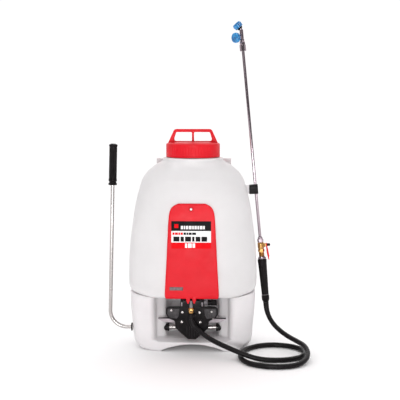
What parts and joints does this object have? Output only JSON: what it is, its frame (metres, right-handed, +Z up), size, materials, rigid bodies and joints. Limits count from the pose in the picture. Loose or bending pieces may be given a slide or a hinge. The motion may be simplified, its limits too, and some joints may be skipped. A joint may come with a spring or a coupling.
{
  "type": "backpack sprayer",
  "caption": "Lever-pumped backpack liquid sprayer: moulded tank on a base, screw cap with bridge handle, piston pump, clipped lance, free hose and padded straps",
  "frame": {"origin": "middle of the footprint of everything but the hose, on the ground under the feet", "axes": "+Z up, +Y towards the wearer's back, +X towards the lance; the pump lever is at -X"},
  "size_m": [0.5134, 0.3626, 0.8417],
  "materials": {
    "white_tank": "translucent moulded polyethylene",
    "white_base": "moulded plastic",
    "red_plastic": "semi-gloss moulded plastic",
    "black_plastic": "satin moulded plastic",
    "grey_plastic": "moulded plastic",
    "blue_plastic": "gloss moulded plastic",
    "rubber": "matt rubber",
    "steel": "drawn and polished",
    "chrome": "plated",
    "brass": "machined",
    "hose_black": "satin hose",
    "webbing": "woven polypropylene",
    "pad_fabric": "padded woven cloth"
  },
  "bodies": {
    "sprayer_body": {"tank": "white_tank", "base": "white_base", "front_plate": "red_plastic", "front_plate_screw": "steel", "air_chamber": "grey_plastic", "inlet_tube": "grey_plastic", "inlet_valve": "rubber", "pump_housing_front": "black_plastic", "pump_housing_rear": "black_plastic", "pump_screw_1": "steel", "pump_screw_2": "steel", "pump_screw_3": "steel", "pump_screw_4": "steel", "pump_cylinder": "brass", "shaft_bush_left": "black_plastic", "shaft_bush_right": "black_plastic", "pump_bracket": "grey_plastic", "outlet_elbow": "brass", "outlet_pipe": "grey_plastic", "hose_clamp": "black_plastic", "hose": "hose_black", "drain_body": "grey_plastic", "lance_clip": "black_plastic", "lance_clip_arm": "white_base", "lance_tube": "chrome", "lance_nut": "chrome", "valve_body": "brass", "handle_ring": "chrome", "lance_handle": "black_plastic", "handle_end_cap": "black_plastic", "nozzle_nut": "chrome", "shoulder_pad_left": "pad_fabric", "shoulder_pad_right": "pad_fabric", "lower_webbing_left": "webbing", "lower_webbing_right": "webbing", "strap_hook_left": "black_plastic", "strap_hook_right": "black_plastic"},
    "lever": {"lever_rod": "steel", "lever_grip": "black_plastic", "lever_washer": "black_plastic", "pump_shaft": "steel", "crank": "steel", "shaft_collar_left": "black_plastic", "shaft_collar_right": "black_plastic"},
    "piston": {"piston": "brass", "piston_seal": "rubber", "piston_rod": "steel"},
    "strainer": {"strainer_basket": "grey_plastic"},
    "cap_seal": {"cap_gasket": "rubber"},
    "cap": {"cap": "red_plastic", "vent_valve": "rubber"},
    "valve": {"valve_stem": "brass", "valve_lever": "red_plastic", "valve_knob": "black_plastic"},
    "nozzle": {"nozzle_body": "chrome"},
    "upper_cap": {"nozzle_cap_upper": "blue_plastic"},
    "lower_cap": {"nozzle_cap_lower": "blue_plastic"},
    "drain": {"drain_knob": "black_plastic"},
    "slider_left": {"strap_slider_left": "black_plastic"},
    "slider_right": {"strap_slider_right": "black_plastic"}
  },
  "joints": [
    {"name": "lever_swing", "type": "hinge", "parent": "sprayer_body", "child": "lever", "pos_m": [-0.093, -0.0565, 0.053], "axis": [-1, 0, 0], "range_deg": [0, 80]},
    {"name": "piston_slide", "type": "slide", "parent": "sprayer_body", "child": "piston", "axis": [0, 0, 1], "range_m": [0, 0.0258]},
    {"name": "strainer_lift", "type": "slide", "parent": "sprayer_body", "child": "strainer", "axis": [0, 0, 1], "range_m": [0, 0.14]},
    {"name": "cap_rise", "type": "slide", "parent": "strainer", "child": "cap_seal", "axis": [0, 0, 1], "range_m": [0, 0.0076]},
    {"name": "cap_turn", "type": "hinge", "parent": "cap_seal", "child": "cap", "pos_m": [0.007, -0.0145, 0.4995], "axis": [0, 0, 1], "range_deg": [0, 450]},
    {"name": "valve_turn", "type": "hinge", "parent": "sprayer_body", "child": "valve", "pos_m": [0.18484, -0.0145, 0.26277], "axis": [-0.9952, 0, -0.0981], "range_deg": [0, 90]},
    {"name": "nozzle_swivel", "type": "hinge", "parent": "sprayer_body", "child": "nozzle", "pos_m": [0.13196, -0.0145, 0.79917], "axis": [-0.0981, 0, 0.9952], "range_deg": [-90, 90]},
    {"name": "upper_cap_turn", "type": "hinge", "parent": "nozzle", "child": "upper_cap", "pos_m": [0.12999, -0.0145, 0.81907], "axis": [-0.6643, 0, 0.7474], "range_deg": [0, 180]},
    {"name": "lower_cap_turn", "type": "hinge", "parent": "nozzle", "child": "lower_cap", "pos_m": [0.13196, -0.0145, 0.79917], "axis": [-0.8152, -0.5736, -0.0804], "range_deg": [0, 180]},
    {"name": "drain_turn", "type": "hinge", "parent": "sprayer_body", "child": "drain", "pos_m": [0.057, -0.0945, 0.1285], "axis": [1, 0, 0], "range_deg": [0, 270]},
    {"name": "slider_left_slide", "type": "slide", "parent": "sprayer_body", "child": "slider_left", "axis": [-0.1336, -0.1932, -0.972], "range_m": [-0.02, 0.06]},
    {"name": "slider_right_slide", "type": "slide", "parent": "sprayer_body", "child": "slider_right", "axis": [0.1336, -0.1932, -0.972], "range_m": [-0.02, 0.06]}
  ],
  "couplings": [
    {"joint": "piston_slide", "follows": "lever_swing", "m_per_rad": 0.018412},
    {"joint": "cap_rise", "follows": "cap_turn", "m_per_rad": 0.000955}
  ]
}
